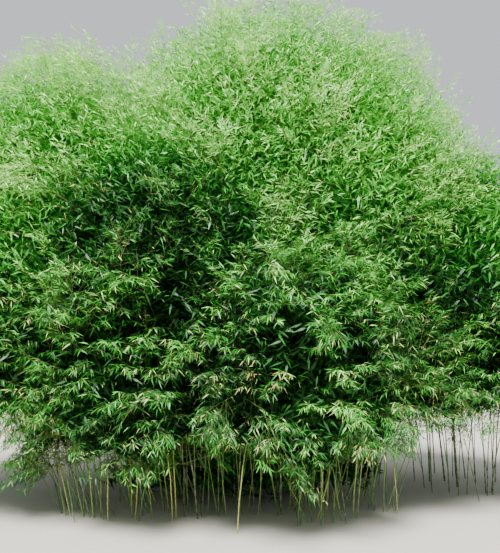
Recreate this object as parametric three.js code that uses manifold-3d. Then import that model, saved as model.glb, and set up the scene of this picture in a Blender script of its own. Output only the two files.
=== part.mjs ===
// A bamboo clump rooted in open ground, in millimetres, +Z up.
// Its canes rise from a level cut at the ground, and each ends where it enters its own leafy plume.
// The origin is at the foot of the main cane, the one under the top of the crown.
// -Y is the side that the clump is seen from, and +X is to its right.
import * as THREE from "three";
import { mergeVertices } from "three/addons/utils/BufferGeometryUtils.js";
import Module from "manifold-3d";

const wasm = await Module();
wasm.setup();

const CANES = 30;
const SEED = 3;

// The crown is the union of these lobes. Each has the middle of its widest section, its half-size along X
// and Y and its height above that section, and the height of its lowest leaves.
const LOBES = [
  { at: [150, 350, 1700], size: [3300, 2200, 4900], skirt: 900 }, // the middle, with the crown's top
  { at: [-2550, 150, 1700], size: [2100, 2000, 4000], skirt: 950 }, // left
  { at: [-1250, -750, 1400], size: [1500, 1450, 3300], skirt: 500 }, // front left
  { at: [200, -950, 1350], size: [1350, 1450, 1800], skirt: 500 }, // the low bulge in front
  { at: [2450, 250, 1600], size: [1500, 1750, 3000], skirt: 1000 }, // right
  { at: [-400, 1050, 1300], size: [2200, 1500, 2200], skirt: 450 }, // back
];
const NARROWING_BELOW = 0.35; // how fast a lobe narrows below its widest section, against above it
const SHELL_DEPTH = 0.42; // foliage fills this share of a lobe, inwards from its skin
const UNDERSIDE_RISE = 4200; // how steeply the underside of the foliage rises towards the middle
const RIM_SHARE = 0.3; // the outer share of a lobe where the foliage comes down to its skirt

// The canes stand in two oval patches of ground. Each has its middle, its half-size in plan, and how far
// right the plumes that it feeds may be.
const STANDS = [
  { at: [-150, -50], size: [1600, 1400], reachesTo: 1900 },
  { at: [2500, 350], size: [750, 850], reachesTo: Infinity },
];
const FOOT_OUTERMOST = 1.12; // for a plume at ground level, as a share of the patch's half-size
const FOOT_INNERMOST = 0.05;
const FOOT_DRAW_IN = 1.09; // how much nearer the middle the feet are for plumes at the crown's top
const FOOT_JITTER = 190; // how far a foot may stray from its even place
const CANE_SPACING = 75; // least distance between the lines of two canes
const CANE_LEAN = 0.11; // share of its outward reach that a cane leans by at half its height
const CANE_BEND = 0.48; // the same at the height of its arch
const CANE_ARCH = 0.98; // height of the arch, as a share of the tip's height
const RIM_ARCH = 800; // how far a cane at the crown's lower rim rises above its own tip
const RIM_HEIGHT = 3300; // a cane whose tip is below this belongs to the rim

const CANE_RADIUS = 13.5; // at the ground, on the main cane
const FLARE = 1.18; // swelling of the lowest joint
const STEM_RADIUS = 8; // where a cane ends and the stem of its plume begins
const STEM_TIP_RADIUS = 4;
const CANE_SIDES = 5;
const CANE_STEPS = 6;
const STEM_SIDES = 3;
const SEAT_GAP = 0.3; // between a cane's top and the plume's stem

const PLUME_LENGTH = 2100; // leafy length of a tall cane
const PLUME_SHARE = 0.62; // the most of a short cane that is leafy
const TIP_REACH = 800; // a tip lies this far from the middle of its plume
const LEVEL_HEIGHT = 2600; // a plume this high points level, a higher one up and a lower one down
const STEEPEST_DOWN = 0.5; // fall of the lowest plumes, against 1 outwards

const TWIGS = 8; // on each stem, one at each of its rings after the first
const TWIG_LONGEST = 550; // at the middle of the stem
const TWIG_SHORTEST = 400; // at the stem's ends
const TWIG_SPREAD = 0.3; // between a short twig and a long one of the same place, as a share
const TWIG_RADIUS = 7;
const TWIG_TIP_RADIUS = 5;
const TWIG_ANGLE = 58; // degrees away from the stem at its foot
const TWIG_ANGLE_AT_TIP = 34;
const TURN = 137.5; // degrees round the stem from one twig to the next
const STRAYS = [0, 26, -26, 52, -52, 78, -78]; // degrees tried beside that turn; the leafiest wins

const BLADE_SHORTEST = 755; // each blade stands for a whole spray of leaves
const BLADE_LONGEST = 965;
const BLADE_WIDTH = 0.36; // of its length
const BLADE_THICKNESS = 0.024; // of its length
const BLADE_WAIST = 0.44; // where along its length a blade is widest
const BLADE_DROOP = 0.16; // of its length, at the tip
const BLADE_HANG = 0.28; // how far a blade's line turns down from its twig's
const FACING_UP = 0.14; // how much more a blade faces upwards for each metre above the ground
const FACING_STRAY = 0.5;
const SIDE_BLADE_SIZE = 0.88; // of the blade at its twig's end
const SIDE_BLADE_ROOTS = [0.5, 0.8]; // where they leave the twig, as shares of its length
const SIDE_BLADE_ANGLE = 52; // degrees away from the twig
const SIDE_BLADE_STRAY = 12; // degrees more or less than that
const SIDE_BLADE_FALL = -0.1; // its least and greatest rise from the level of its twig
const SIDE_BLADE_RISE = 0.2;
const SHORTENING = [1, 0.8, 0.62, 0.48]; // lengths tried before a blade is skipped
const ROOT_DEPTH = 12; // how far before its ring a twig's foot is sunk in the stem
const ROOT_VOLUME = 1500; // the most of a twig or blade, in cubic millimetres, that its own plume may hold

const SIMPLIFIED = 1; // edges shorter than this are closed up
const CELL_MARGIN = 20; // how much nearer its own stem than any other a twig or blade stays
const LIMB_CLEARANCE = 6; // kept clear round every cane and stem of another plume

const COLOURS = {
  cane: { color: 0x7d8c46, roughness: 0.45, metalness: 0 },
  plume: { color: 0x5f9440, roughness: 0.6, metalness: 0 },
};

const UP = new THREE.Vector3(0, 0, 1);
const { degToRad, lerp, clamp } = THREE.MathUtils;

// A stream of numbers from 0 to 1 that is the same on every run.
function numbers(seed) {
  let state = seed >>> 0;
  return () => {
    state = (state + 0x6d2b79f5) >>> 0;
    let t = state;
    t = Math.imul(t ^ (t >>> 15), t | 1);
    t ^= t + Math.imul(t ^ (t >>> 7), t | 61);
    return ((t ^ (t >>> 14)) >>> 0) / 4294967296;
  };
}

// How deep a point lies in a lobe: 0 on its skin, 1 at its middle, negative outside.
function depthIn({ at, size, skirt }, p) {
  const rise = (p.z - at[2]) / size[2];
  const high = rise > 0 ? rise : rise * NARROWING_BELOW;
  const inside = 1 - Math.hypot((p.x - at[0]) / size[0], (p.y - at[1]) / size[1], high);
  return Math.min(inside, (p.z - skirt) / UNDERSIDE_RISE);
}

const depthAt = (p) => Math.max(...LOBES.map((lobe) => depthIn(lobe, p)));

// The open room under the foliage, which rises from the rim towards the middle of the crown.
function isUnderneath(p) {
  const planDepth = ({ at, size }) => 1 - Math.hypot((p.x - at[0]) / size[0], (p.y - at[1]) / size[1]);
  return p.z < UNDERSIDE_RISE * (Math.max(...LOBES.map(planDepth)) - RIM_SHARE);
}

// Points spread evenly through the leafy shell of the crown.
function sampleShell(count, random) {
  const low = [0, 1].map((k) => Math.min(...LOBES.map((l) => l.at[k] - l.size[k])));
  const high = [0, 1, 2].map((k) => Math.max(...LOBES.map((l) => l.at[k] + l.size[k])));
  const samples = [];
  while (samples.length < count) {
    const x = lerp(low[0], high[0], random());
    const y = lerp(low[1], high[1], random());
    const p = new THREE.Vector3(x, y, high[2] * random());
    const depth = depthAt(p);
    if (depth > 0 && depth < SHELL_DEPTH && !isUnderneath(p)) samples.push(p);
  }
  return samples;
}

// Even shares of the leafy shell, each given by its middle, highest first. Every sample goes to the
// nearest middle, and each middle then moves to the centre of its samples, some rounds over.
function shareOutCrown() {
  const SAMPLES = 2400;
  const ROUNDS = 14;
  const samples = sampleShell(SAMPLES, numbers(SEED));
  let middles = samples.slice(0, CANES).map((p) => p.clone());
  for (let round = 0; round < ROUNDS; round += 1) {
    const shares = middles.map(() => ({ sum: new THREE.Vector3(), count: 0 }));
    for (const p of samples) {
      const distances = middles.map((m) => m.distanceToSquared(p));
      const nearest = shares[distances.indexOf(Math.min(...distances))];
      nearest.sum.add(p);
      nearest.count += 1;
    }
    middles = shares.map(({ sum, count }) => sum.divideScalar(count));
  }
  return middles.sort((a, b) => b.z - a.z);
}

// The line of a cane from its foot to the tip of its plume: it leans out, then arches over.
function caneLine(foot, tip) {
  const archHeight = tip.z * CANE_ARCH + RIM_ARCH * Math.max(0, 1 - tip.z / RIM_HEIGHT);
  const low = foot.clone().lerp(tip, CANE_LEAN);
  const high = foot.clone().lerp(tip, CANE_BEND);
  low.z = archHeight / 2;
  high.z = archHeight;
  return new THREE.CubicBezierCurve3(foot, low, high, tip);
}

// The least distance from any of some points to a line that is given as points.
function distanceTo(line, points) {
  const segment = new THREE.Line3();
  const closest = new THREE.Vector3();
  let least = Infinity;
  for (const p of points) {
    for (let i = 1; i < line.length; i += 1) {
      segment.set(line[i - 1], line[i]).closestPointToPoint(p, true, closest);
      least = Math.min(least, closest.distanceTo(p));
    }
  }
  return least;
}

// A foot's even place: the lower its plume, the further out it stands in its patch of ground.
function footOf(middle, stand) {
  const round = Math.atan2(middle.y - stand.at[1], middle.x - stand.at[0]);
  const top = Math.max(...LOBES.map((l) => l.at[2] + l.size[2]));
  const out = clamp(FOOT_OUTERMOST - (FOOT_DRAW_IN * middle.z) / top, FOOT_INNERMOST, 1);
  const x = stand.at[0] + stand.size[0] * out * Math.cos(round);
  const y = stand.at[1] + stand.size[1] * out * Math.sin(round);
  return new THREE.Vector3(x, y, 0);
}

// A plume's tip: outwards from its middle, and up or down with its height in the crown.
function tipOf(middle, stand) {
  const OUTWARD = 1900; // a middle this far from its stand's points fully outwards
  const reach = new THREE.Vector3(middle.x - stand.at[0], middle.y - stand.at[1], 0).divideScalar(OUTWARD);
  if (reach.length() > 1) reach.normalize();
  reach.z = clamp(middle.z / LEVEL_HEIGHT - 1, -STEEPEST_DOWN, 1);
  const tip = middle.clone().addScaledVector(reach.normalize(), TIP_REACH);
  const LEAST_DEPTH = 0.05;
  while (depthAt(tip) < LEAST_DEPTH) tip.lerp(middle, 0.1);
  return tip;
}

// Every cane, the one with the highest plume first: its line, the share of it where the plume begins, and
// the points of the plume's stem. A foot strays from its even place until its cane is clear of the others.
function layOutCanes() {
  const TRIES = 60;
  const FURTHER = 0.1; // added to the stray at each try, as a share of it
  const LINE_POINTS = 24;
  const random = numbers(SEED + 1);
  const canes = [];
  for (const middle of shareOutCrown()) {
    const stand = STANDS.find((s) => middle.x < s.reachesTo);
    const isMain = canes.length === 0;
    const even = isMain ? new THREE.Vector3() : footOf(middle, stand);
    const tip = tipOf(middle, stand);
    for (let tries = 0; tries < TRIES; tries += 1) {
      const stray = isMain ? 0 : FOOT_JITTER * (1 + tries * FURTHER);
      const foot = even.clone();
      foot.x += (random() * 2 - 1) * stray;
      foot.y += (random() * 2 - 1) * stray;
      const line = caneLine(foot, tip);
      const points = line.getPoints(LINE_POINTS);
      if (canes.some((c) => distanceTo(c.points, points) < CANE_SPACING)) continue;
      const length = line.getLength();
      const from = 1 - Math.min(PLUME_LENGTH / length, PLUME_SHARE);
      const stemPoint = (_, i) => line.getPointAt(lerp(from, 1, i / TWIGS));
      const stem = Array.from({ length: TWIGS + 1 }, stemPoint);
      canes.push({ line, points, length, from, stem });
      break;
    }
  }
  if (canes.length !== CANES) throw new Error(`only ${canes.length} canes found room`);
  return canes;
}

// A tapering limb along a stretch of a line: a capped cylinder bent to follow it. radiusAt gives the
// radius at a share of the limb's own length. A limb that starts on the ground is cut level there.
function limbGeometry(line, from, to, radiusAt, sides, steps, gap = 0) {
  const geometry = new THREE.CylinderGeometry(1, 1, 1, sides, steps);
  const place = geometry.getAttribute("position");
  const side = new THREE.Vector3(1, 0, 0);
  const rings = Array.from({ length: steps + 1 }, (_, i) => {
    const along = lerp(from, to, i / steps);
    const tangent = line.getTangentAt(along);
    const across = side.clone().projectOnPlane(tangent).normalize();
    return { at: line.getPointAt(along), tangent, across, other: tangent.clone().cross(across) };
  });
  if (gap) rings[0].at.addScaledVector(rings[0].tangent, gap);
  for (let i = 0; i < place.count; i += 1) {
    const share = place.getY(i) + 0.5;
    const ring = rings[Math.round(share * steps)];
    const radius = radiusAt(share);
    const p = ring.at
      .clone()
      .addScaledVector(ring.across, place.getX(i) * radius)
      .addScaledVector(ring.other, -place.getZ(i) * radius);
    if (share === 0 && ring.at.z === 0) {
      p.addScaledVector(ring.tangent, -p.z / ring.tangent.z);
      p.z = 0;
    }
    place.setXYZ(i, p.x, p.y, p.z);
  }
  return geometry;
}

// The way that a blade faces: outwards from the clump, and more upwards the higher it is, with a stray.
function facingAt(p, random) {
  const facing = new THREE.Vector3(p.x, p.y, 0).normalize();
  const stray = () => lerp(-FACING_STRAY, FACING_STRAY, random());
  const up = (FACING_UP * p.z) / 1000 + FACING_STRAY * random();
  return facing.add(new THREE.Vector3(stray(), stray(), up));
}

// The line of a blade, which hangs down from that of its twig.
const hanging = (line) => line.clone().addScaledVector(UP, -BLADE_HANG).normalize();

// A point of a blade: along its length and bent down, half its width across, and up to its keel.
function bladePoint(root, frame, length, along, across, keel) {
  return root
    .clone()
    .addScaledVector(frame.line, along * length)
    .addScaledVector(frame.across, (across * length * BLADE_WIDTH) / 2)
    .addScaledVector(frame.face, keel * length * BLADE_THICKNESS)
    .addScaledVector(UP, -(along ** 2) * BLADE_DROOP * length);
}

// The directions of a blade: along it, out of its face, and across it.
function bladeFrame(line, facing) {
  const face = facing.clone().projectOnPlane(line).normalize();
  return { line, face, across: line.clone().cross(face) };
}

// A straight three-sided twig that ends in a blade: a cone with its base at the twig's foot, a ring at the
// twig's end, another where the blade is widest, and its apex at the blade's tip.
function leafyTwigGeometry(foot, line, twigLength, facing, length) {
  const RINGS = 3;
  const geometry = new THREE.ConeGeometry(1, 1, 3, RINGS);
  const place = geometry.getAttribute("position");
  const end = foot.clone().addScaledVector(line, twigLength);
  const twig = bladeFrame(line, facing);
  const blade = bladeFrame(hanging(line), facing);
  const twigPoint = (at, radius, side, up) =>
    at.clone().addScaledVector(twig.across, side * radius).addScaledVector(twig.face, up * radius);
  for (let i = 0; i < place.count; i += 1) {
    const ring = Math.round((place.getY(i) + 0.5) * RINGS);
    const size = Math.hypot(place.getX(i), place.getZ(i)) || 1;
    const side = place.getX(i) / size;
    const up = place.getZ(i) / size;
    const p = [
      () => twigPoint(foot, TWIG_RADIUS, side, up),
      () => twigPoint(end, TWIG_TIP_RADIUS, side, up),
      () => bladePoint(end, blade, length, BLADE_WAIST, Math.sign(Math.round(side)), up > 0 ? 1 : 0),
      () => bladePoint(end, blade, length, 1, 0, 0),
    ][ring]();
    place.setXYZ(i, p.x, p.y, p.z);
  }
  return geometry;
}

// A lance-shaped blade of six faces from its root to its tip, with a keel down its outer side.
function bladeGeometry(root, line, facing, length) {
  const corners = [-1, 0, 0, 1, 0, 0, 0, -1, 0, 0, 1, 0, 0, 0, 1];
  const [ROOT, TIP, LEFT, RIGHT, KEEL] = [0, 1, 2, 3, 4];
  const rootFaces = [ROOT, KEEL, LEFT, ROOT, RIGHT, KEEL, ROOT, LEFT, RIGHT];
  const tipFaces = [TIP, LEFT, KEEL, TIP, KEEL, RIGHT, TIP, RIGHT, LEFT];
  const geometry = new THREE.PolyhedronGeometry(corners, [...rootFaces, ...tipFaces], 1, 0);
  const place = geometry.getAttribute("position");
  const frame = bladeFrame(hanging(line), facing);
  for (let i = 0; i < place.count; i += 1) {
    const [x, y, z] = [place.getX(i), place.getY(i), place.getZ(i)].map(Math.round);
    const p = bladePoint(root, frame, length, [0, BLADE_WAIST, 1][x + 1], y, z);
    place.setXYZ(i, p.x, p.y, p.z);
  }
  return geometry;
}

// The corners of a geometry, each once.
function cornersOf(geometry) {
  const bare = new THREE.BufferGeometry().setAttribute("position", geometry.getAttribute("position"));
  if (geometry.index) bare.setIndex(geometry.index);
  return mergeVertices(bare, 1e-4);
}

// A geometry as a solid that can be joined. An inside-out one is turned round.
function solidOf(geometry) {
  const bare = cornersOf(geometry);
  const vertProperties = bare.getAttribute("position").array;
  const build = (triVerts) => new wasm.Manifold(new wasm.Mesh({ numProp: 3, vertProperties, triVerts }));
  const faces = new Uint32Array(bare.index.array);
  const solid = build(faces);
  if (solid.volume() > 0) return solid;
  for (let i = 0; i < faces.length; i += 3) [faces[i + 1], faces[i + 2]] = [faces[i + 2], faces[i + 1]];
  return build(faces);
}

// A solid's triangles as a geometry.
function geometryOf(solid) {
  const { numProp, vertProperties, triVerts, numVert } = solid.getMesh();
  const place = new Float32Array(numVert * 3);
  for (let i = 0; i < numVert; i += 1) {
    place.set(vertProperties.subarray(i * numProp, i * numProp + 3), i * 3);
  }
  const geometry = new THREE.BufferGeometry();
  geometry.setAttribute("position", new THREE.BufferAttribute(place, 3));
  return geometry.setIndex(new THREE.BufferAttribute(new Uint32Array(triVerts), 1));
}

// A body with the box round it, by which its neighbours are found.
function bodyOf(geometry, cane) {
  const box = new THREE.Box3().setFromBufferAttribute(geometry.getAttribute("position"));
  return { cane, box, solid: solidOf(geometry) };
}

// A cane's radius at a share of the way from the ground to its plume, with a short flare at its foot.
function caneRadius(cane, share, tallest) {
  const plain = lerp(CANE_RADIUS * Math.sqrt(cane.length / tallest), STEM_RADIUS, share);
  return share === 0 ? plain * FLARE : plain;
}

const stemRadius = (share) => lerp(STEM_RADIUS, STEM_TIP_RADIUS, share);

// The stem of a plume, which goes on from its cane.
function stemGeometry(cane, gap, extra) {
  return limbGeometry(cane.line, cane.from, 1, (s) => stemRadius(s) + extra, STEM_SIDES, TWIGS, gap);
}

// One plume: its stem, the twigs set round it, and the blades on each twig. A twig or blade is kept only
// inside the plume's own share of the crown and clear of every other limb and plume.
function growPlume(cane, index, canes, obstacles) {
  const random = numbers(SEED + 100 + index);
  const otherStems = canes.filter((c) => c !== cane).map((c) => c.stem);
  const otherBodies = obstacles.filter((body) => body.cane !== cane);
  let plume = solidOf(stemGeometry(cane, SEAT_GAP, 0));

  const isOwn = (p) => {
    const own = distanceTo(cane.stem, [p]);
    return otherStems.every((stem) => distanceTo(stem, [p]) > own + CELL_MARGIN);
  };
  const isClearOf = (body, other) =>
    !other.box.intersectsBox(body.box) || other.solid.intersect(body.solid).isEmpty();
  const fits = (body, geometry) => {
    const corners = cornersOf(geometry).attributes.position;
    for (let i = 0; i < corners.count; i += 1) {
      const p = new THREE.Vector3().fromBufferAttribute(corners, i);
      if (depthAt(p) < 0 || !isOwn(p)) return false;
    }
    return otherBodies.every((other) => isClearOf(body, other));
  };

  // The longest of the blades or twigs that a function makes for each length, if one fits.
  const longest = (length, make) => {
    for (const share of SHORTENING) {
      const geometry = make(length * share);
      const body = bodyOf(geometry, cane);
      if (fits(body, geometry) && body.solid.intersect(plume).volume() < ROOT_VOLUME) {
        return { length: length * share, solid: body.solid };
      }
    }
    return null;
  };

  // A twig with a blade at its end and one on each side.
  const growTwig = (foot, line, length) => {
    const size = lerp(BLADE_SHORTEST, BLADE_LONGEST, random());
    const facing = facingAt(foot, random);
    const twig = longest(size, (l) => leafyTwigGeometry(foot, line, length, facing, l));
    if (!twig) return { leafy: 0, solids: [] };
    const flat = new THREE.Vector3().crossVectors(UP, line).normalize();
    const blades = SIDE_BLADE_ROOTS.map((share, i) => {
      const angle = SIDE_BLADE_ANGLE + lerp(-SIDE_BLADE_STRAY, SIDE_BLADE_STRAY, random());
      const aside = degToRad(i % 2 ? -angle : angle);
      const out = line.clone().multiplyScalar(Math.cos(aside)).addScaledVector(flat, Math.sin(aside));
      out.z += lerp(SIDE_BLADE_FALL, SIDE_BLADE_RISE, random());
      out.normalize();
      const root = foot.clone().addScaledVector(line, length * share);
      const sideFacing = facingAt(root, random);
      return longest(size * SIDE_BLADE_SIZE, (l) => bladeGeometry(root, out, sideFacing, l));
    });
    const kept = [twig, ...blades.filter(Boolean)];
    return { leafy: kept.reduce((sum, b) => sum + b.length, 0), solids: kept.map((b) => b.solid) };
  };

  let round = random() * 360;
  for (let ring = 1; ring <= TWIGS; ring += 1) {
    const share = ring / TWIGS;
    const along = cane.stem[ring].clone().sub(cane.stem[ring - 1]).normalize();
    const foot = cane.stem[ring].clone().addScaledVector(along, -ROOT_DEPTH);
    const isLast = ring === TWIGS;
    const angle = isLast ? 0 : degToRad(lerp(TWIG_ANGLE, TWIG_ANGLE_AT_TIP, share));
    const length = lerp(TWIG_SHORTEST, TWIG_LONGEST, Math.sin(Math.PI * share));
    round += TURN;
    let best = { leafy: 0, solids: [] };
    for (const stray of isLast ? [0] : STRAYS) {
      const turn = degToRad(round + stray);
      const side = new THREE.Vector3(1, 0, 0).projectOnPlane(along).normalize();
      side.applyAxisAngle(along, turn);
      const line = along.clone().multiplyScalar(Math.cos(angle)).addScaledVector(side, Math.sin(angle));
      const twig = growTwig(foot, line, length * (1 + (random() - 0.5) * TWIG_SPREAD));
      if (twig.leafy > best.leafy) best = twig;
    }
    for (const solid of best.solids) plume = plume.add(solid);
  }
  return geometryOf(plume.simplify(SIMPLIFIED));
}

function namedMesh(kind, index, geometry) {
  const mesh = new THREE.Mesh(geometry, new THREE.MeshStandardMaterial(COLOURS[kind]));
  mesh.name = `${kind}_${String(index + 1).padStart(2, "0")}`;
  return mesh;
}

function bambooClump() {
  const clump = new THREE.Group();
  const canes = layOutCanes();
  const tallest = canes[0].length;
  const caneGeometry = (cane, extra) => {
    const radiusAt = (share) => caneRadius(cane, share, tallest) + extra;
    return limbGeometry(cane.line, 0, cane.from, radiusAt, CANE_SIDES, CANE_STEPS);
  };
  const obstacles = canes.flatMap((cane) => [
    bodyOf(caneGeometry(cane, LIMB_CLEARANCE), cane),
    bodyOf(stemGeometry(cane, 0, LIMB_CLEARANCE), cane),
  ]);
  canes.forEach((cane, index) => {
    clump.add(namedMesh("cane", index, caneGeometry(cane, 0)));
    const plume = growPlume(cane, index, canes, obstacles);
    clump.add(namedMesh("plume", index, plume));
    obstacles.push(bodyOf(plume, cane));
  });
  return clump;
}

export default bambooClump();
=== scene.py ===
"""A large bamboo clump rooted in open ground.

Slim canes rise from a level cut at the ground, bare at the foot, and arch outwards into leafy plumes. The
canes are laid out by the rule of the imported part: the crown is shared out evenly among them, and each cane
leans out and arches over to its share. From there the rule goes on to branches, twigs and single leaves.
Lengths are in metres, +Z is up, and -Y is the side that the clump is seen from.
"""

import logging
import math
from collections.abc import Callable
from dataclasses import dataclass, field, replace
from enum import Enum
from functools import partial

import bpy
import numpy as np
from numpy.typing import NDArray
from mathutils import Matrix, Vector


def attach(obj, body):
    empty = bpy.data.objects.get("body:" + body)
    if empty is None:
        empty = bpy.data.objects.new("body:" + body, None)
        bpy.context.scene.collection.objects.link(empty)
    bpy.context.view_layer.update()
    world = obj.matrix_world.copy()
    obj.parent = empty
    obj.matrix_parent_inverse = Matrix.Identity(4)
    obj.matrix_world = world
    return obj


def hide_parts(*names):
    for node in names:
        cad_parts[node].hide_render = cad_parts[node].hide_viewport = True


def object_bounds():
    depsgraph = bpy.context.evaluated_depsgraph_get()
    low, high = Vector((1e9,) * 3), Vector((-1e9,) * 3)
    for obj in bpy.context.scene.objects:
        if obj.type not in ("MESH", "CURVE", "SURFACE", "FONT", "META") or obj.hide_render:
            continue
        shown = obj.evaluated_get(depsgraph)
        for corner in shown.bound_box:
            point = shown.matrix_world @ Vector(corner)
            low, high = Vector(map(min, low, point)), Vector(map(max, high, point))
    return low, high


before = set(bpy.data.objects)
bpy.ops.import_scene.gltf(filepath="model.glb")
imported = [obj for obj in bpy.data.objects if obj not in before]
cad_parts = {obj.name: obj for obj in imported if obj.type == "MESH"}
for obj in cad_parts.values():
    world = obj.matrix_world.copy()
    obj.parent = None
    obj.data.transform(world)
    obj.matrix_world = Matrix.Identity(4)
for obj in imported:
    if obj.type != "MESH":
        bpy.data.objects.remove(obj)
CAD_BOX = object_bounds()

Array = NDArray[np.float64]
Indices = NDArray[np.int64]
Mask = NDArray[np.bool_]
Surface = tuple[Array, Indices]  # vertices, and the three vertices of each face
Pair = tuple[float, float]
Triple = tuple[float, float, float]

LOG = logging.getLogger("bamboo_clump")
UP = np.array([0.0, 0.0, 1.0])
GOLDEN_TURN = math.radians(137.5)
PIECE_LIMIT = 196_000  # most triangles in one piece
EDGE_REACH = (0.0, 0.8)  # least and most that a cane at the clump's edge leans out
EDGE_RISE = (1.3, 2.7)  # least and most height of its tip


def linear(colour: int) -> tuple[float, float, float, float]:
    """Turns an sRGB hex colour to a linear one.

    Args:
        colour: the colour as 0xRRGGBB.

    Returns:
        Red, green, blue and alpha, each from 0 to 1.
    """
    parts = [(colour >> shift & 0xFF) / 255 for shift in (16, 8, 0)]
    red, green, blue = (p / 12.92 if p <= 0.04045 else ((p + 0.055) / 1.055) ** 2.4 for p in parts)
    return red, green, blue, 1.0


def unit(vectors: Array) -> Array:
    """Scales each vector to a length of 1."""
    return vectors / np.maximum(np.linalg.norm(vectors, axis=-1, keepdims=True), 1e-9)


def blend(start: Array | float, end: Array | float, share: Array | float) -> Array:
    """Goes from start to end in a straight line as share goes from 0 to 1."""
    return np.asarray(start) + (np.asarray(end) - np.asarray(start)) * share


def turned(first: Array, second: Array, angle: Array) -> Array:
    """Turns from one direction to another across it: first times cos of the angle plus second times sin."""
    return first * np.cos(angle)[..., None] + second * np.sin(angle)[..., None]


def square_to(ways: Array) -> tuple[Array, Array]:
    """Gives two directions across each way: X less its part along the way, and one square to both."""
    first = unit(np.array([1.0, 0.0, 0.0]) - ways * ways[:, :1])
    return first, np.cross(ways, first)


def draw_in_box(rng: np.random.Generator, count: int) -> Array:
    """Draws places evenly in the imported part's box."""
    return blend(CAD_BOX[0], CAD_BOX[1], rng.uniform(0, 1, (count, 3)))


@dataclass(frozen=True)
class Ramp:
    """A value that goes straight from level to level between its places, and stays the same beyond them."""

    at: tuple[float, ...]
    levels: tuple[float, ...]

    def of(self, places: Array) -> Array:
        """Gives the value at each place."""
        return np.interp(places, self.at, self.levels)


class NumberStream:
    """The stream of numbers that the canes are laid out with, the same on every run."""

    MASK = 0xFFFFFFFF

    def __init__(self, seed: int) -> None:
        """Starts the stream at a seed."""
        self.state = seed & self.MASK

    def draw(self) -> float:
        """Gives the next number from 0 to 1."""
        self.state = (self.state + 0x6D2B79F5) & self.MASK
        t = self.state
        t = ((t ^ (t >> 15)) * (t | 1)) & self.MASK
        t ^= (t + ((t ^ (t >> 7)) * (t | 61) & self.MASK)) & self.MASK
        return (t ^ (t >> 14)) / (self.MASK + 1)


@dataclass(frozen=True)
class Lobe:
    """A rounded part of the crown: the middle of its widest section, its half-sizes and its lowest leaves."""

    at: Triple
    size: Triple
    skirt: float


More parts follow.
